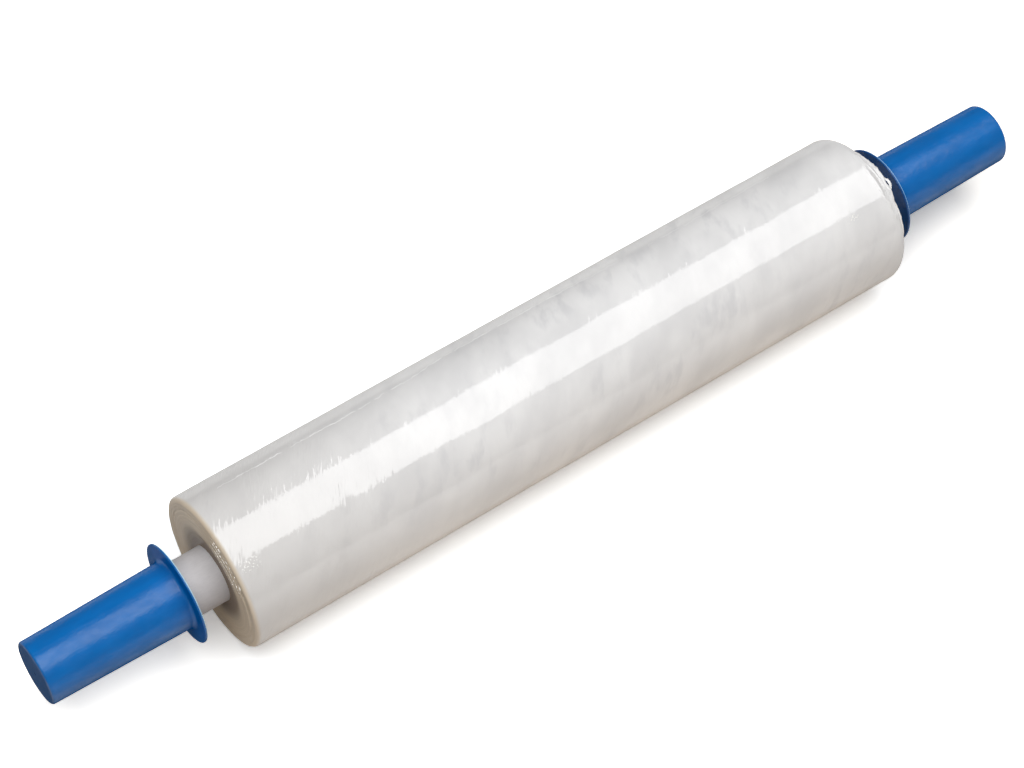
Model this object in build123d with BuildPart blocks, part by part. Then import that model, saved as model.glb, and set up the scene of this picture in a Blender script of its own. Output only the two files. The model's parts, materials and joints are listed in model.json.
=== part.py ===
from build123d import *

import math
import os

# A hand roll of stretch film. The film is wound on a long board tube, and a plastic
# grip is slipped over each bare end of the tube, where it turns freely.
# Millimetres. X runs along the roll, Z is up, and Z = 0 is the surface it lies on.

# Film
film_width = 508.0
film_diameter = 104.4
left_rim_radius = 3.6
right_rim_radius = 6.6  # the turns have slumped more at this end
flat_width = 12.0  # where the soft roll settles under its own weight

# Core tube
core_diameter = 38.0
core_wall = 3.0
core_edge_chamfer = 0.4
left_bare_length = 23.4  # bare tube between the film and the left grip's flange
right_bare_length = 16.2

# Grips, one moulding used twice
grip_length = 98.6  # from the flange's film side to the outside of the closed end
grip_end_wall = 2.2
grip_wall_at_end = 1.8
grip_wall_at_flange = 3.1
grip_end_round = 1.9
bore_bottom_round = 1.0
bore_mouth_chamfer = 0.8
flange_rise = 11.2  # from the grip's outside to the flange's rim
flange_thickness = 1.6
flange_rim_round = 0.5
flange_root_round = 2.4
gate_radius = 0.9  # moulding gate mark in the middle of the closed end
gate_depth = 0.5

# Fits
winding_clearance = 0.02  # film on core
bore_clearance_at_end = 0.3  # grip on core, at the closed end
bore_clearance_at_mouth = 0.6  # grip on core, at the flange
seat_clearance = 0.3  # core's end to the bottom of the grip's bore

# Places that follow from the sizes
film_radius = film_diameter / 2
core_radius = core_diameter / 2
axis_height = math.sqrt(film_radius**2 - (flat_width / 2) ** 2)
roll_axis = Axis((0, 0, axis_height), (1, 0, 0))
bare_total = left_bare_length + right_bare_length
overall_length = 2 * grip_length + bare_total + film_width
left_mouth_x = grip_length - overall_length / 2
right_mouth_x = overall_length / 2 - grip_length
film_left_x = left_mouth_x + left_bare_length
core_length = overall_length - 2 * (grip_end_wall + seat_clearance)

os.makedirs("parts", exist_ok=True)

# Core: a board tube that runs through the film and into both grips
core_end_plane = Plane(
    origin=(-core_length / 2, 0, axis_height), x_dir=(0, 1, 0), z_dir=(1, 0, 0)
)
with BuildPart() as core_tube:
    with BuildSketch(core_end_plane):
        Circle(core_radius)
        Circle(core_radius - core_wall, mode=Mode.SUBTRACT)
    extrude(amount=core_length)
    chamfer(core_tube.edges().filter_by(GeomType.CIRCLE), core_edge_chamfer)
core_tube.part.label = "core_tube"
export_step(core_tube.part, "parts/core_tube.step")

# Film: all the turns as one body, with slumped rims and a flat underneath
film_end_plane = Plane(
    origin=(film_left_x, 0, axis_height), x_dir=(0, 1, 0), z_dir=(1, 0, 0)
)
with BuildPart() as film_roll:
    with BuildSketch(film_end_plane):
        Circle(film_radius)
        Circle(core_radius + winding_clearance, mode=Mode.SUBTRACT)
    extrude(amount=film_width)
    film_circles = film_roll.edges().filter_by(GeomType.CIRCLE)
    left_rim, right_rim = film_circles.group_by(SortBy.RADIUS)[-1].sort_by(Axis.X)
    fillet(left_rim, left_rim_radius)
    fillet(right_rim, right_rim_radius)
    split(bisect_by=Plane.XY, keep=Keep.TOP)
film_roll.part.label = "film_roll"
export_step(film_roll.part, "parts/film_roll.step")

# Grips: flanged sleeves over the core's ends, closed outside. Both are revolved from
# one section, drawn outward from the flange's film side.
bore_radius_at_mouth = core_radius + bore_clearance_at_mouth
bore_radius_at_end = core_radius + bore_clearance_at_end
grip_radius_at_flange = bore_radius_at_mouth + grip_wall_at_flange
grip_radius_at_end = bore_radius_at_end + grip_wall_at_end
flange_radius = grip_radius_at_flange + flange_rise
bore_depth = grip_length - grip_end_wall
gate_bottom = grip_length - gate_depth

for name, mouth_x, outward in (
    ("left_grip", left_mouth_x, -1),
    ("right_grip", right_mouth_x, 1),
):
    section_plane = Plane(
        origin=(mouth_x, 0, axis_height), x_dir=(outward, 0, 0), z_dir=(0, -outward, 0)
    )
    with BuildPart() as grip:
        with BuildSketch(section_plane):
            with BuildLine():
                Polyline(
                    (0, bore_radius_at_mouth),
                    (0, flange_radius),
                    (flange_thickness, flange_radius),
                    (flange_thickness, grip_radius_at_flange),
                    (grip_length, grip_radius_at_end),
                    (grip_length, gate_radius),
                    (gate_bottom, gate_radius),
                    (gate_bottom, 0),
                    (bore_depth, 0),
                    (bore_depth, bore_radius_at_end),
                    close=True,
                )
            make_face()
        revolve(axis=roll_axis)
        circles = grip.edges().filter_by(GeomType.CIRCLE).group_by(SortBy.RADIUS)
        bore_bottom, bore_mouth, closed_end, flange_root, flange_rim = circles[-5:]
        fillet(flange_rim, flange_rim_round)
        fillet(flange_root, flange_root_round)
        fillet(closed_end, grip_end_round)
        fillet(bore_bottom, bore_bottom_round)
        chamfer(bore_mouth, bore_mouth_chamfer)
    grip.part.label = name
    export_step(grip.part, f"parts/{name}.step")
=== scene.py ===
import json
import math

import bpy
import numpy as np
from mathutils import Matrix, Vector


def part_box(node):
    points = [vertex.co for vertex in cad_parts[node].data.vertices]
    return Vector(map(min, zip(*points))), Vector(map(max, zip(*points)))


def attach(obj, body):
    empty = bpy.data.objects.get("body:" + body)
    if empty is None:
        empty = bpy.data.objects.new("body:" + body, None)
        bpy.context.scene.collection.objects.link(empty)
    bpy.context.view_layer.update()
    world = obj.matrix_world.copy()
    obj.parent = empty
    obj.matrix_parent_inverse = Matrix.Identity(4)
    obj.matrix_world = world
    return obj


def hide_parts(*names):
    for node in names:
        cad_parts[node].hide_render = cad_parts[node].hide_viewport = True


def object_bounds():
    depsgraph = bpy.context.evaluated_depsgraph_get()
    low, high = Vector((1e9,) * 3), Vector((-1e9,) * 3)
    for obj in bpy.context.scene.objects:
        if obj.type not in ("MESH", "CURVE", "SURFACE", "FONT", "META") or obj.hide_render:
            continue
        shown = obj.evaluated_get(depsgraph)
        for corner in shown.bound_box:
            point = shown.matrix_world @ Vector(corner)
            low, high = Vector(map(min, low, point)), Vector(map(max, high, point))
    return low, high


# The looks of a hand roll of stretch film, in metres, in the CAD's frame: X along the
# roll, Z up, the floor at Z = 0. Angles round the roll are "lean" angles: 0 is the top
# line, and they grow towards -Y. An "arc" is a lean as a length round the film.

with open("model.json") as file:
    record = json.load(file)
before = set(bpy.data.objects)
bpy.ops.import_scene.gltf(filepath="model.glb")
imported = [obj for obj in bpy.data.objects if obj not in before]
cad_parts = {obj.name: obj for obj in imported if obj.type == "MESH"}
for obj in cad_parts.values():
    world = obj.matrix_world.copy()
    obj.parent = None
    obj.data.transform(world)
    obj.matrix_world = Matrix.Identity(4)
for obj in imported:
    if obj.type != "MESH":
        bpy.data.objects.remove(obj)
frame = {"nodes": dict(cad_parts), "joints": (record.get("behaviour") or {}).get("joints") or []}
cad_low, cad_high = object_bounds()

MM = 0.001
random = np.random.default_rng(20)

# Sizes read from the frame
film_low, film_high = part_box("film_roll")
core_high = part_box("core_tube")[1]
grip_low, grip_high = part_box("right_grip")
AXIS_Z = frame["joints"][0]["pos_m"][2]
FILM_LEFT, FILM_RIGHT = film_low.x, film_high.x
FILM_RADIUS = film_high.y
FILM_MIDDLE = Vector(((FILM_LEFT + FILM_RIGHT) / 2, 0, AXIS_Z))
ROUND_LENGTH = 2 * math.pi * FILM_RADIUS
CORE_RADIUS = core_high.y
MOUTH, FLANGE_RADIUS = grip_low.x, grip_high.y  # the flange is at a grip's open mouth
GRIP_END = cad_high.x

# Film rims and faces
LEFT_RIM = 3.6 * MM
RIGHT_RIM = 6.6 * MM
RIDGE_RADIUS = 31 * MM  # innermost of the beaded ridges on the left end
RIDGE_STEP = 5 * MM
SHINE_ARC = 20 * MM  # middle of the long shine that the softbox leaves on the film

# Mesh counts of the film: columns round it, then rings from the left end to the right
COLUMNS_ROUND = 250
LEFT_FACE_RINGS = 56
LEFT_RIM_RINGS = 12
STRAIGHT_RINGS = 212
RIGHT_RIM_RINGS = 16
RIGHT_FACE_RINGS = 28

# The stage
FLOOR_WHITE = 1.38  # floor brightness for the camera, against a white card's 1
FLOOR_HALF = 6.0
ROOM_NEAR, ROOM_FAR = 0.30, 0.13  # strength of the room's light from -Y and from +Y


# ---------------------------------------------------------------- mesh helpers


def lattice_noise(u, v, cell_u, cell_v, period_v=None):
    """Smooth noise from -1 to 1 over the arrays u and v, on a seeded lattice of cells.
    With period_v the noise closes on itself after that length of v."""
    gu, gv = np.asarray(u) / cell_u, np.asarray(v) / cell_v
    gu = gu - np.floor(gu.min()) + 1
    rows = int(gu.max()) + 4
    if period_v is None:
        gv = gv - np.floor(gv.min()) + 1
        columns = int(gv.max()) + 4
    else:
        columns = max(3, round(period_v / cell_v))
        gv = gv * (columns * cell_v / period_v)
    values = random.uniform(-1, 1, (rows, columns))
    iu, iv = np.floor(gu).astype(int), np.floor(gv).astype(int)
    fu, fv = gu - iu, gv - iv
    fu, fv = fu * fu * (3 - 2 * fu), fv * fv * (3 - 2 * fv)

    def at(row, column):
        return values[np.clip(row, 0, rows - 1), column % columns]

    near = at(iu, iv) * (1 - fv) + at(iu, iv + 1) * fv
    far = at(iu + 1, iv) * (1 - fv) + at(iu + 1, iv + 1) * fv
    return near * (1 - fu) + far * fu


def line_noise(u, cell):
    """The same noise along one line only."""
    return lattice_noise(u, u * 0, cell, 1.0)


def smoothstep(low, high, value):
    share = np.clip((value - low) / (high - low), 0, 1)
    return share * share * (3 - 2 * share)


def hump(value, middle, reach, power=2):
    """1 at the middle, falling away smoothly on both sides."""
    return np.exp(-(np.abs((value - middle) / reach) ** power))


def on_roll(x, radius, lean):
    """Points at x along the roll, at that radius and lean angle."""
    return np.stack(
        [x, -radius * np.sin(lean), AXIS_Z + radius * np.cos(lean)], axis=-1
    )


def over_right_rim(along, height, lean):
    """Points by their way along the film's profile, from where the right rim starts to
    round over and on down the end, and their height off the film."""
    turn = np.clip(along / RIGHT_RIM, 0, math.pi / 2)
    before = np.minimum(along, 0)
    after = np.maximum(along - RIGHT_RIM * math.pi / 2, 0)
    x = FILM_RIGHT - RIGHT_RIM + before + RIGHT_RIM * np.sin(turn) + height * np.sin(turn)
    radius = FILM_RADIUS - RIGHT_RIM * (1 - np.cos(turn)) - after + height * np.cos(turn)
    return on_roll(x, radius, lean)


def grid_mesh(name, points, closed=False, uv=None, attributes=None):
    """An object made of a grid of points, rows by columns, with quads between them.
    closed joins the last column to the first. uv and attributes hold a value a point."""
    rows, columns = points.shape[:2]
    index = np.arange(rows * columns).reshape(rows, columns)
    right = np.roll(index, -1, axis=1) if closed else index[:, 1:]
    left = index if closed else index[:, :-1]
    quads = np.stack([left[:-1], right[:-1], right[1:], left[1:]], axis=-1)
    quads = quads.reshape(-1, 4)
    mesh = bpy.data.meshes.new(name)
    mesh.from_pydata(points.reshape(-1, 3).tolist(), [], quads.tolist())
    if uv is not None:
        layer = mesh.uv_layers.new(name="roll_uv")
        corners = np.zeros(len(mesh.loops), np.int64)
        mesh.loops.foreach_get("vertex_index", corners)
        values = uv.reshape(-1, 2)[corners].astype(np.float32)
        if closed:  # the last column's quads run past the seam, not back across it
            first = (corners.reshape(-1, 4) % columns == 0) & (
                (quads % columns).max(axis=1) == columns - 1
            )[:, None]
            values = values.reshape(-1, 4, 2)
            values[..., 1] += first * ROUND_LENGTH
            values = values.reshape(-1, 2)
        layer.data.foreach_set("uv", values.ravel())
    for key, value in (attributes or {}).items():
        layer = mesh.attributes.new(key, "FLOAT", "POINT")
        layer.data.foreach_set("value", value.astype(np.float32).ravel())
    mesh.polygons.foreach_set("use_smooth", np.ones(len(mesh.polygons), bool))
    mesh.update()
    piece = bpy.data.objects.new(name, mesh)
    bpy.context.scene.collection.objects.link(piece)
    return piece


# ------------------------------------------------------------ material helpers


class Nodes:
    """A material's node tree, with short calls to add and join nodes."""

    def __init__(self, name):
        self.material = bpy.data.materials.new(name)
        self.material.use_nodes = True
        self.tree = self.material.node_tree
        self.tree.nodes.clear()
        self.output = self.tree.nodes.new("ShaderNodeOutputMaterial")

    def add(self, kind, settings=None, **inputs):
        """A node of that kind. Inputs are values, or sockets to join, by the socket's
        name with _ for a space, or by its number as i0, i1 and so on."""
        node = self.tree.nodes.new("ShaderNode" + kind)
        for key, value in (settings or {}).items():
            setattr(node, key, value)
        for key, value in inputs.items():
            numbered = key[1:].isdigit()
            socket = node.inputs[int(key[1:]) if numbered else key.replace("_", " ")]
            if isinstance(value, bpy.types.NodeSocket):
                self.tree.links.new(value, socket)
            else:
                socket.default_value = value
        return node

    def math(self, operation, first, second=0.0):
        node = self.add("Math", {"operation": operation}, i0=first, i1=second)
        return node.outputs[0]

    def times(self, first, *others):
        for other in others:
            first = self.math("MULTIPLY", first, other)
        return first

    def minus(self, first, second):
        return self.math("SUBTRACT", first, second)

    def size(self, value):
        return self.math("ABSOLUTE", value)

    def vector(self, operation, first, second=(0, 0, 0)):
        node = self.add("VectorMath", {"operation": operation}, i0=first, i1=second)
        return node.outputs[1 if operation == "LENGTH" else 0]

    def scaled(self, vector, share):
        node = self.add("VectorMath", {"operation": "SCALE"}, i0=vector, i3=share)
        return node.outputs[0]

    def combined(self, x, y=0.0):
        return self.add("CombineXYZ", i0=x, i1=y).outputs[0]

    def axis_distance(self, place):
        """How far a place is from the roll's axis."""
        from_axis = self.vector("SUBTRACT", place, (0, 0, AXIS_Z))
        return self.vector("LENGTH", self.vector("MULTIPLY", from_axis, (0, 1, 1)))

    def between(self, value, low, high, to_low=0.0, to_high=1.0):
        """value mapped smoothly from low..high to to_low..to_high, and held outside."""
        node = self.add(
            "MapRange",
            {"interpolation_type": "SMOOTHSTEP"},
            Value=value,
            From_Min=low,
            From_Max=high,
            To_Min=to_low,
            To_Max=to_high,
        )
        return node.outputs[0]

    def noise(self, place, scales, detail, roughness):
        """Noise from 0 to 1, with that many cells a metre along each axis of place."""
        stretched = self.vector("MULTIPLY", place, scales)
        node = self.add(
            "TexNoise", Vector=stretched, Scale=1.0, Detail=detail, Roughness=roughness
        )
        return node.outputs[0]

    def mix(self, share, first, second):
        node = self.add("Mix", {"data_type": "RGBA"}, i0=share, i6=first, i7=second)
        return node.outputs[2]

    def surface(self, shader):
        self.tree.links.new(shader.outputs[0], self.output.inputs["Surface"])
        return self.material


def srgb(red, green, blue):
    """A colour as it looks on screen, in the linear values that shaders take."""
    linear = [
        c / 12.92 if c <= 0.04045 else ((c + 0.055) / 1.055) ** 2.4
        for c in (red, green, blue)
    ]
    return (*linear, 1.0)


# -------------------------------------------------------------- film materials

# On the film, x runs along the roll and arc round it; uv holds the two together.


def milky_colour(n, uv, x, arc, slant, patches):
    """The outer surface: milky, with clouds where the turns have air between them."""
    haze = n.noise(slant, (24, 18, 1), 3.0, 0.55)
    streaks = n.noise(uv, (460, 26, 1), 2.0, 0.5)
    clusters = n.noise(uv, (10, 16, 1), 1.0, 0.5)
    colour = n.mix(
        n.between(haze, 0.32, 0.66), srgb(0.87, 0.867, 0.867), srgb(0.92, 0.917, 0.915)
    )
    # The clouds are the film's own, but under the shine they are painted fainter: a painted
    # highlight that keeps the band evenly bright
    off_shine = n.size(n.minus(arc, SHINE_ARC))
    cloudy = n.times(
        n.between(clusters, 0.42, 0.6, 0.3, 1.0),
        n.between(off_shine, 8 * MM, 16 * MM, 0.4, 1.0),
        n.between(patches, 0.48, 0.7, 0.0, 0.75),
    )
    colour = n.mix(cloudy, colour, srgb(0.835, 0.833, 0.838))
    streaky = n.between(streaks, 0.45, 0.75, 0.0, 0.15)
    colour = n.mix(streaky, colour, srgb(0.885, 0.883, 0.885))
    # Darker towards the left end: painted shade, for the light that falls off there
    painted_shade_left = n.between(x, FILM_LEFT + 200 * MM, FILM_LEFT - 10 * MM, 0.0, 0.7)
    return n.mix(painted_shade_left, colour, srgb(0.84, 0.83, 0.82))


def tan_colour(n, radius, rings):
    """The turns' edges on the ends: tan rings, darker towards the core."""
    deep = n.between(radius, FILM_RADIUS * 0.70, FILM_RADIUS * 0.45)
    colour = n.mix(deep, srgb(0.93, 0.855, 0.745), srgb(0.57, 0.505, 0.44))
    return n.mix(n.between(rings, 0.35, 0.7, 0.0, 0.2), colour, srgb(0.70, 0.64, 0.56))


def wrinkle_tilt(n, uv, x, arc):
    """How far fine wrinkles that run round the roll tip the surface up or down. They
    never tip it sideways. They are strongest near the left end."""
    leaning = n.vector("ADD", uv, n.combined(n.times(arc, 0.55)))
    fine = n.noise(leaning, (1000, 110, 1), 2.0, 0.6)
    spikes = n.noise(leaning, (850, 90, 1), 1.0, 0.5)
    where = n.noise(uv, (55, 14, 1), 1.0, 0.5)
    rolling = n.noise(uv, (38, 32, 1), 2.0, 0.5)
    left_end = n.between(x, FILM_LEFT + 130 * MM, FILM_LEFT + 70 * MM, 0.35, 1.0)
    rough = n.times(n.between(where, 0.35, 0.65, 0.25, 1.0), left_end)
    left_edge = n.between(x, FILM_LEFT + 22 * MM, FILM_LEFT + 8 * MM, 0.0, 0.6)
    rough = n.math("MAXIMUM", rough, left_edge)
    by_shine = n.times(
        n.between(arc, -6 * MM, 3 * MM),
        n.between(arc, 32 * MM, 22 * MM, 0.2, 1.0),
    )
    spiky = n.times(n.between(spikes, 0.56, 0.70), n.times(rough, by_shine, 0.24))
    tilt = n.math("ADD", n.times(n.minus(fine, 0.5), n.times(rough, 0.42)), spiky)
    return n.math("ADD", tilt, n.times(n.minus(rolling, 0.5), 0.07))


def painted_ridge_glints(n, radius, arc):
    """1 on beads of film along the ridges of the end, on its upper part where the light catches
    them: the mask of painted glints.
    """
    beads = n.noise(n.combined(radius, arc), (1100, 560, 1), 0.0, 0.5)
    past_ridge = n.minus(radius, RIDGE_RADIUS - RIDGE_STEP / 4)
    comb = n.math("SINE", n.times(past_ridge, 2 * math.pi / RIDGE_STEP))
    zone = n.times(
        n.between(radius, RIDGE_RADIUS - 2 * MM, RIDGE_RADIUS - 1 * MM),
        n.between(radius, FILM_RADIUS * 0.95, FILM_RADIUS * 0.92),
    )
    upper = n.times(
        n.between(arc, 2 * MM, 12 * MM),
        n.between(arc, 62 * MM, 46 * MM),
    )
    beaded = n.times(n.between(beads, 0.48, 0.58), n.between(comb, 0.6, 0.95))
    return n.times(beaded, n.times(zone, upper))


def crumb_spot(n, x, arc, middle_x, half_x, middle_arc, half_arc):
    """1 inside a soft-edged spot of the outer surface, 0 outside."""
    along = n.size(n.minus(x, middle_x))
    across = n.size(n.minus(arc, middle_arc))
    return n.times(
        n.between(along, half_x, half_x * 0.5),
        n.between(across, half_arc, half_arc * 0.5),
    )


def crumple_glints(n, uv, x, arc):
    """1 on crumbs of crumpled film under the shine, near both ends: the mask of painted glints.
    """
    crumbs = n.noise(uv, (800, 800, 1), 0.0, 0.5)
    left = crumb_spot(n, x, arc, FILM_LEFT + 11 * MM, 8 * MM, 35 * MM, 5 * MM)
    right = crumb_spot(n, x, arc, FILM_LEFT + 473 * MM, 6 * MM, 34 * MM, 2.8 * MM)
    return n.times(n.math("MAXIMUM", left, right), n.between(crumbs, 0.57, 0.66))


def film_material():
    """Many turns of clear film: milky and cloudy under a wet gloss, tan on the ends."""
    n = Nodes("stretch_film")
    uv = n.add("UVMap", {"uv_map": "roll_uv"}).outputs[0]
    x, arc, _ = n.add("SeparateXYZ", i0=uv).outputs
    radius = n.axis_distance(n.add("TexCoord").outputs["Object"])
    end = n.add("Attribute", {"attribute_name": "end_face"}).outputs["Fac"]
    painted_shade_and_highlight = n.add("Attribute", {"attribute_name": "painted_shade_and_highlight"}).outputs["Fac"]
    slant = n.vector("ADD", uv, n.combined(n.times(arc, 0.35)))
    patches = n.noise(slant, (78, 36, 1), 3.0, 0.55)
    rings = n.noise(n.combined(radius), (900, 1, 1), 3.0, 0.6)
    beaded = painted_ridge_glints(n, radius, arc)
    sparkle = n.math("MAXIMUM", n.times(beaded, end), crumple_glints(n, uv, x, arc))

    # Above 0 this attribute is painted shade, dark in the creases between folds; below 0 it is a
    # painted highlight, pale along the tail's lip and the loose strands
    milky = milky_colour(n, uv, x, arc, slant, patches)
    colour = n.mix(n.between(end, 0.05, 0.95), milky, tan_colour(n, radius, rings))
    colour = n.mix(n.between(painted_shade_and_highlight, 0.0, 1.0, 0.0, 0.9), colour, srgb(0.52, 0.52, 0.51))
    colour = n.mix(n.between(painted_shade_and_highlight, 0.0, -1.0), colour, srgb(0.97, 0.97, 0.965))
    # Painted glints: the ridge beads and the crumbs are painted near white
    colour = n.mix(sparkle, colour, srgb(0.98, 0.975, 0.96))

    # The tilt turns the normal about the roll's axis, on the outer surface only
    normal = n.add("NewGeometry").outputs["Normal"]
    axis = n.add(
        "VectorTransform",
        {"vector_type": "VECTOR", "convert_from": "OBJECT", "convert_to": "WORLD"},
        Vector=(1, 0, 0),
    ).outputs[0]
    tangent = n.vector("NORMALIZE", n.vector("CROSS_PRODUCT", axis, normal))
    tilt = n.times(wrinkle_tilt(n, uv, x, arc), n.minus(1.0, end))
    tipped = n.vector("NORMALIZE", n.vector("ADD", normal, n.scaled(tangent, tilt)))
    bump = n.add(
        "Bump",
        Strength=0.3,
        Distance=0.3 * MM,
        Height=n.times(rings, end),
        Normal=tipped,
    ).outputs[0]
    # The beads on the end face up, so that they glint under a light from above
    raised = n.scaled((0, -0.38, 0.925), n.times(beaded, n.times(end, 3.2)))
    bump = n.vector("NORMALIZE", n.vector("ADD", bump, raised))

    facing = n.add("LayerWeight", Blend=0.5).outputs["Facing"]
    gloss = n.times(
        n.between(facing, 0.65, 1.0, 1.0, 0.3),  # wrinkles break the glancing shine
        n.between(x, FILM_LEFT + 70 * MM, FILM_LEFT + 230 * MM, 1.0, 0.8),
        n.between(end, 0.3, 1.0, 1.0, 0.4),
    )
    shader = n.add(
        "BsdfPrincipled",
        Base_Color=colour,
        Metallic=n.times(sparkle, 0.9),
        Roughness=n.between(patches, 0.2, 0.8, 0.45, 0.6),
        Normal=bump,
        Coat_Normal=bump,
        Specular_IOR_Level=0.0,
        Coat_Weight=n.math("MAXIMUM", gloss, beaded),
        Coat_Roughness=0.05,
        Coat_IOR=1.75,
    )
    return n.surface(shader)


# ---------------------------------------------------- grip and core materials


def grip_material():
    """Blue polyethylene moulding: satin, with smeared flow marks and a fine peel."""
    n = Nodes("grip_plastic")
    place = n.add("TexCoord").outputs["Object"]
    x = n.add("SeparateXYZ", i0=place).outputs[0]
    radius = n.axis_distance(place)
    flow = n.noise(place, (40, 120, 120), 3.0, 0.55)
    smears = n.noise(place, (120, 210, 210), 3.0, 0.55)
    peel = n.noise(place, (1300, 1300, 1300), 2.0, 0.5)
    blue = n.mix(n.between(flow, 0.3, 0.7), srgb(0.0, 0.395, 0.69), srgb(0.0, 0.42, 0.725))

    # The flange's film side is painted darker, as painted shade
    painted_flange_shade = n.between(n.size(x), MOUTH + 1.1 * MM, MOUTH + 0.9 * MM, 0.0, 0.7)
    blue = n.mix(painted_flange_shade, blue, srgb(0.07, 0.22, 0.45))
    # The +X corner of its rim is painted pale: a painted highlight line
    rim = n.between(radius, FLANGE_RADIUS - 0.5 * MM, FLANGE_RADIUS - 0.2 * MM)
    right_corner = n.between(x, MOUTH + 1.0 * MM, MOUTH + 1.2 * MM)
    on_left = n.between(x, 1.0 * MM, 0.0)
    left_corner = n.times(n.between(x, -MOUTH - 0.7 * MM, -MOUTH - 0.5 * MM), on_left)
    painted_rim_highlight = n.times(rim, n.math("MAXIMUM", left_corner, right_corner))
    blue = n.mix(painted_rim_highlight, blue, srgb(0.72, 0.90, 1.0))

    # The closed end is duller, with a dark gate mark in its middle
    closed_end = n.between(n.size(x), GRIP_END - 0.8 * MM, GRIP_END - 0.3 * MM)
    blue = n.mix(n.times(closed_end, 0.55), blue, srgb(0.27, 0.36, 0.5))
    gate = n.between(radius, 1.1 * MM, 0.7 * MM)
    blue = n.mix(gate, blue, srgb(0.02, 0.08, 0.2))

    bump = n.add("Bump", Strength=0.2, Distance=0.06 * MM, Height=peel).outputs[0]
    wave = n.add(
        "Bump", Strength=0.6, Distance=0.5 * MM, Height=smears, Normal=bump
    ).outputs[0]
    facing = n.add("LayerWeight", Blend=0.5).outputs["Facing"]
    shine = n.times(
        n.between(facing, 0.45, 0.9, 1.0, 0.06), n.between(smears, 0.3, 0.7, 0.65, 1.0)
    )
    shader = n.add(
        "BsdfPrincipled",
        Base_Color=blue,
        Roughness=n.between(smears, 0.3, 0.75, 0.5, 0.6),
        Normal=wave,
        Coat_Normal=wave,
        Specular_IOR_Level=0.0,
        Coat_Weight=shine,
        Coat_Roughness=0.27,
        Coat_IOR=1.5,
    )
    return n.surface(shader)


def core_material():
    """Smooth grey tube board, faintly clouded, with fibres along it."""
    n = Nodes("core_board")
    place = n.add("TexCoord").outputs["Object"]
    fibres = n.noise(place, (260, 900, 900), 4.0, 0.65)
    clouds = n.noise(place, (90, 90, 90), 2.0, 0.5)
    grey = n.mix(
        n.between(clouds, 0.3, 0.7), srgb(0.82, 0.81, 0.815), srgb(0.85, 0.84, 0.845)
    )
    grey = n.mix(n.between(fibres, 0.35, 0.75, 0.0, 0.35), grey, srgb(0.76, 0.75, 0.755))
    bump = n.add("Bump", Strength=0.2, Distance=0.1 * MM, Height=fibres).outputs[0]
    return n.surface(
        n.add("BsdfPrincipled", Base_Color=grey, Roughness=0.62, Normal=bump, IOR=1.45)
    )


# ---------------------------------------------------------------------- pieces


def add_to_film(piece, material):
    """Gives a piece of film its material and its place on the roll."""
    piece.data.materials.append(material)
    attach(piece, "roll")


def face_depth(radius, lean):
    """How far the turns' edges lie inside the flat end, ring by ring."""
    share = radius / FILM_RADIUS
    arc = lean * FILM_RADIUS
    dish = 1.0 * MM * (1 - smoothstep(0.5, 0.66, share))
    rings = lattice_noise(radius, arc, 1.1 * MM, 60 * MM, ROUND_LENGTH)
    beads = lattice_noise(radius, arc, 0.7 * MM, 2.2 * MM, ROUND_LENGTH)
    groove = 0.5 * MM * hump(share, 0.84, 0.012)
    beaded = hump(share, 0.86, 0.035)
    return dish + groove + (0.16 * rings + (0.08 + 0.2 * beaded) * beads + 0.3) * MM


def film_profile():
    """x, radius and share of end face of each ring of the film, from the core's left
    end over the outer surface to its right end."""
    rows = []
    left_face_top = FILM_RADIUS - LEFT_RIM
    for share in np.linspace(0, 1, LEFT_FACE_RINGS, endpoint=False) ** 0.75:
        rows.append((FILM_LEFT, CORE_RADIUS + (left_face_top - CORE_RADIUS) * share, 1.0))
    for turn in np.linspace(math.pi / 2, 0, LEFT_RIM_RINGS):
        x = FILM_LEFT + LEFT_RIM * (1 - math.sin(turn))
        radius = FILM_RADIUS - LEFT_RIM * (1 - math.cos(turn))
        rows.append((x, radius, math.sin(turn)))
    straight = np.linspace(FILM_LEFT + LEFT_RIM, FILM_RIGHT - RIGHT_RIM, STRAIGHT_RINGS)
    rows += [(x, FILM_RADIUS, 0.0) for x in straight[1:-1]]
    for turn in np.linspace(0, math.pi / 2, RIGHT_RIM_RINGS):
        x = FILM_RIGHT - RIGHT_RIM * (1 - math.sin(turn))
        radius = FILM_RADIUS - RIGHT_RIM * (1 - math.cos(turn))
        rows.append((x, radius, 0.6 * math.sin(turn) ** 2))
    for radius in np.linspace(FILM_RADIUS - RIGHT_RIM, CORE_RADIUS, RIGHT_FACE_RINGS)[1:]:
        rows.append((FILM_RIGHT, radius, 1.0))
    return np.array(rows)


def make_film(material):
    """All the turns: cloudy outer surface, slumped rims and ringed ends."""
    profile = film_profile()
    around = np.linspace(-math.pi, math.pi, COLUMNS_ROUND, endpoint=False)
    lean = np.broadcast_to(around, (len(profile), COLUMNS_ROUND))
    x, radius, end = (
        np.broadcast_to(column[:, None], lean.shape) for column in profile.T
    )
    arc = lean * FILM_RADIUS
    swell = lattice_noise(x, arc, 28 * MM, 45 * MM, ROUND_LENGTH)
    bands = lattice_noise(x, arc, 5 * MM, 160 * MM, ROUND_LENGTH)
    sunk = (0.10 * swell + 0.05 * bands - 0.15) * MM * (1 - end)
    inward = np.where(x < FILM_MIDDLE.x, 1, -1) * face_depth(radius, lean) * end
    points = on_roll(x + inward, radius + sunk, lean)
    points[..., 2] = np.maximum(points[..., 2], 0)  # the flat that the roll settles on
    uv = np.stack([x, arc], axis=-1)
    piece = grid_mesh("film_turns", points, closed=True, uv=uv, attributes={"end_face": end})
    add_to_film(piece, material)
    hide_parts("film_roll")


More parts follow.
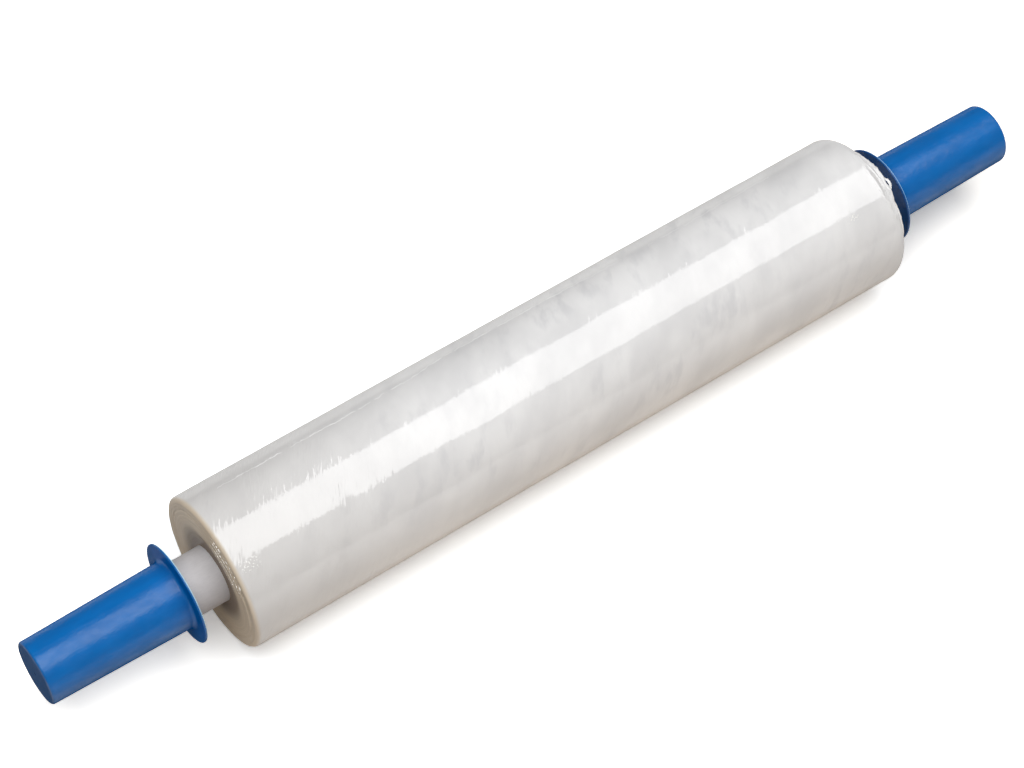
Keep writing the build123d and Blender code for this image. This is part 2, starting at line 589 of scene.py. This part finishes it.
def make_tail(material):
    """The free edge of the outermost turn: a crimped lip, broken, nearly along the roll."""
    x = np.linspace(FILM_LEFT + 22 * MM, FILM_RIGHT - 60 * MM, 1300)
    along = (x - FILM_LEFT) / (FILM_RIGHT - FILM_LEFT)
    lean = np.radians(-25 + 1.5 * np.sin(11 * along) - 4.0 * smoothstep(0.31, 0.37, along))
    lean = lean + np.radians(0.8) * line_noise(x, 4 * MM)
    lean = lean + np.radians(0.5) * line_noise(x, 1.6 * MM)
    broken = smoothstep(-0.3, 0.1, line_noise(x, 4 * MM))
    crimp = 0.65 + 0.35 * line_noise(x, 1.5 * MM)
    fade = (1 - 0.8 * smoothstep(0.5, 0.62, along)) * smoothstep(0.04, 0.08, along)
    lift = 0.30 * MM * broken * crimp * fade
    # The lip's section: mm back from the edge, and share of the lift
    section = ((0.0, -0.1), (0.3, 0.35), (0.6, 0.75), (0.85, 1.0), (0.95, 0.0))
    columns = []
    for back, share in section:
        radius = FILM_RADIUS - 0.12 * MM + lift * share
        columns.append(on_roll(x, radius, lean - back * MM / FILM_RADIUS))
    points = np.stack(columns, axis=1)
    uv = np.stack([np.stack([x, lean * FILM_RADIUS], axis=-1)] * len(section), axis=1)
    flat = np.zeros(points.shape[:2])
    # The lip is painted pale along its length: a painted highlight
    piece = grid_mesh(
        "film_tail", points, uv=uv, attributes={"end_face": flat, "painted_shade_and_highlight": flat - 0.5}
    )
    add_to_film(piece, material)


def make_loose_edge(material):
    """Loose film bunched over the right rim, in folds that run along it."""
    lean_line = np.radians(np.linspace(-14, 62, 260))
    along_line = np.linspace(-2.5, 11.5, 64) * MM
    along, lean = np.meshgrid(along_line, lean_line, indexing="ij")
    share = (lean - lean_line[0]) / (lean_line[-1] - lean_line[0])
    way = (along - along_line[0]) / (along_line[-1] - along_line[0])
    folds = np.zeros(along.shape)
    for _ in range(11):
        middle = random.uniform(0.3, 0.62)
        reach = random.uniform(0.12, 0.3)
        start, drift = random.uniform(0.5, 9.5) * MM, random.uniform(-3.5, 3.5) * MM
        sway = 0.5 * MM * line_noise(share, 0.13)
        line = start + drift * (share - middle) + sway
        width = random.uniform(0.28, 0.55) * MM
        ridge = hump(along, line, width, 1.5)
        folds += random.uniform(0.9, 1.9) * MM * hump(share, middle, reach) * ridge
    folds *= 1 - 0.75 * smoothstep(5.0 * MM, 7.5 * MM, along)  # low where the rim turns away
    height = folds + 0.2 * MM * lattice_noise(along, lean * FILM_RADIUS, 0.9 * MM, 2.2 * MM)
    side = smoothstep(0, 0.14, share) * (1 - smoothstep(0.84, 1, share))
    cover = side * smoothstep(0, 0.12, way) * (1 - smoothstep(0.88, 1, way))
    points = over_right_rim(along, (height + 0.35 * MM) * cover - 0.3 * MM, lean)
    points[..., 2] = np.minimum(points[..., 2], cad_high.z - 0.02 * MM)
    # Painted shade: the creases between the folds are painted dark where they crowd
    low = 1 - smoothstep(0.15, 0.6, folds / MM)
    busy = smoothstep(0.25, 0.45, share) * (1 - smoothstep(0.6, 0.8, share))
    painted_shade_and_highlight = low * busy * smoothstep(0.3, 0.6, way)
    uv = np.stack([points[..., 0], lean * FILM_RADIUS], axis=-1)
    values = {"end_face": along * 0, "painted_shade_and_highlight": painted_shade_and_highlight}
    add_to_film(grid_mesh("loose_edge", points, uv=uv, attributes=values), material)


def make_loop(name, lean_from, lean_to, rise, width, material):
    """A strand of loose film that stands off the right rim, from one lean in degrees to
    another, and shows a gap under it."""
    across, share = np.meshgrid(np.linspace(0, 1, 9), np.linspace(0, 1, 70), indexing="ij")
    lean = np.radians(lean_from + (lean_to - lean_from) * share)
    stand = np.sin(math.pi * share) ** 0.8
    crimp = lattice_noise(across, share, 0.35, 0.05)
    along = (7.7 + 0.5 * across) * MM  # part of the way round the rim
    height = rise * stand + width * (across - 0.5) + 0.2 * MM * crimp - 0.4 * MM * (1 - stand)
    points = over_right_rim(along, height, lean)
    uv = np.stack([points[..., 0], lean * FILM_RADIUS], axis=-1)
    # The strand is painted near white: a painted highlight along its edge
    values = {"end_face": along * 0, "painted_shade_and_highlight": along * 0 - 0.9}
    piece = grid_mesh(name, points, uv=uv, attributes=values)
    piece.modifiers.new("film", "SOLIDIFY").thickness = 0.12 * MM
    add_to_film(piece, material)


def dress(node, material):
    """Gives a CAD node a better material."""
    mesh = frame["nodes"][node].data
    mesh.materials.clear()
    mesh.materials.append(material)


# ----------------------------------------------------------------------- stage


def make_floor():
    """A white sweep, bright enough that only the shadow close to the roll shows. Light
    that bounces off it onto the roll is weaker and warmer."""
    n = Nodes("floor")
    path = n.add("LightPath").outputs
    seen = path["Is Camera Ray"]
    mirrored = n.math("MAXIMUM", path["Is Glossy Ray"], path["Is Transmission Ray"])
    x = n.add("SeparateXYZ", i0=n.add("TexCoord").outputs["Object"]).outputs[0]
    # Near the grips the floor is painted warmer for the camera, against the blue light that they
    # bounce onto it, and it bounces less light back onto them
    by_grips = n.between(n.size(x), 240 * MM, 310 * MM)
    bounce = n.mix(by_grips, (0.66, 0.55, 0.44, 1), (0.30, 0.27, 0.25, 1))
    bounce = n.mix(mirrored, bounce, (1, 1, 1, 1))
    white = n.mix(by_grips, (0.98, 1, 1.01, 1), (1.03, 1, 0.95, 1))
    diffuse = n.add("BsdfDiffuse", Color=n.mix(seen, bounce, n.scaled(white, FLOOR_WHITE)))
    # More glow near the left grip: painted light that lifts the grip's shadow on the floor
    lift = n.between(x, -230 * MM, -310 * MM, 0.17, 0.42)
    glow = n.add("Emission", Color=(1, 1, 1, 1), Strength=n.times(seen, lift))
    both = n.add("AddShader", i0=diffuse.outputs[0], i1=glow.outputs[0])
    sides = (-FLOOR_HALF, FLOOR_HALF)
    floor = grid_mesh("floor", np.array([[(x, y, 0.0) for x in sides] for y in sides]))
    floor.data.materials.append(n.surface(both))


def make_softbox():
    """One long softbox over the roll, mostly on the -Y side."""
    near, far = -1.09, 0.37  # its edges across the roll, from the roll's axis
    height = 1.5
    radiance = 2.6
    lamp = bpy.data.lights.new("softbox", "AREA")
    lamp.shape = "RECTANGLE"
    lamp.size, lamp.size_y = 2.6, far - near
    lamp.energy = radiance * math.pi * lamp.size * lamp.size_y
    softbox = bpy.data.objects.new("softbox", lamp)
    softbox.location = (-0.05, (near + far) / 2, AXIS_Z + height)
    bpy.context.scene.collection.objects.link(softbox)


def make_room():
    """A plain pale room: white to the camera, dimmer to the roll and most so from +Y."""
    world = bpy.data.worlds.new("room")
    bpy.context.scene.world = world
    world.use_nodes = True
    tree = world.node_tree
    background = tree.nodes["Background"]
    background.inputs["Color"].default_value = (1, 1, 1, 1)
    path = tree.nodes.new("ShaderNodeLightPath")
    place = tree.nodes.new("ShaderNodeTexCoord")
    side = tree.nodes.new("ShaderNodeSeparateXYZ")
    room = tree.nodes.new("ShaderNodeMapRange")
    mix = tree.nodes.new("ShaderNodeMix")
    for socket, value in zip(room.inputs[1:5], (-1.0, 1.0, ROOM_NEAR, ROOM_FAR)):
        socket.default_value = value
    mix.inputs["B"].default_value = 1.0
    tree.links.new(place.outputs["Generated"], side.inputs[0])
    tree.links.new(side.outputs["Y"], room.inputs["Value"])
    tree.links.new(room.outputs[0], mix.inputs["A"])
    tree.links.new(path.outputs["Is Camera Ray"], mix.inputs["Factor"])
    tree.links.new(mix.outputs[0], background.inputs["Strength"])


def make_camera():
    azimuth, elevation = math.radians(-35.43), math.radians(52.67)
    from_film = Vector((-0.6400, -0.8571, 1.3991))
    forward = Vector(
        (
            -math.sin(azimuth) * math.cos(elevation),
            math.cos(azimuth) * math.cos(elevation),
            -math.sin(elevation),
        )
    )
    data = bpy.data.cameras.new("camera")
    data.sensor_width = 36.0
    data.lens = 96.93
    camera = bpy.data.objects.new("camera", data)
    camera.location = FILM_MIDDLE + from_film
    camera.rotation_euler = forward.to_track_quat("-Z", "Y").to_euler()
    bpy.context.scene.collection.objects.link(camera)
    bpy.context.scene.camera = camera


make_camera()
make_floor()
make_softbox()
make_room()
film = film_material()
make_film(film)
make_tail(film)
make_loose_edge(film)
make_loop("film_loop", 20, 35, 3.6 * MM, 1.7 * MM, film)
make_loop("film_loop_low", 34, 74, 0.7 * MM, 1.3 * MM, film)
blue = grip_material()
dress("left_grip", blue)
dress("right_grip", blue)
dress("core_tube", core_material())

bpy.context.scene.view_settings.view_transform = "Standard"
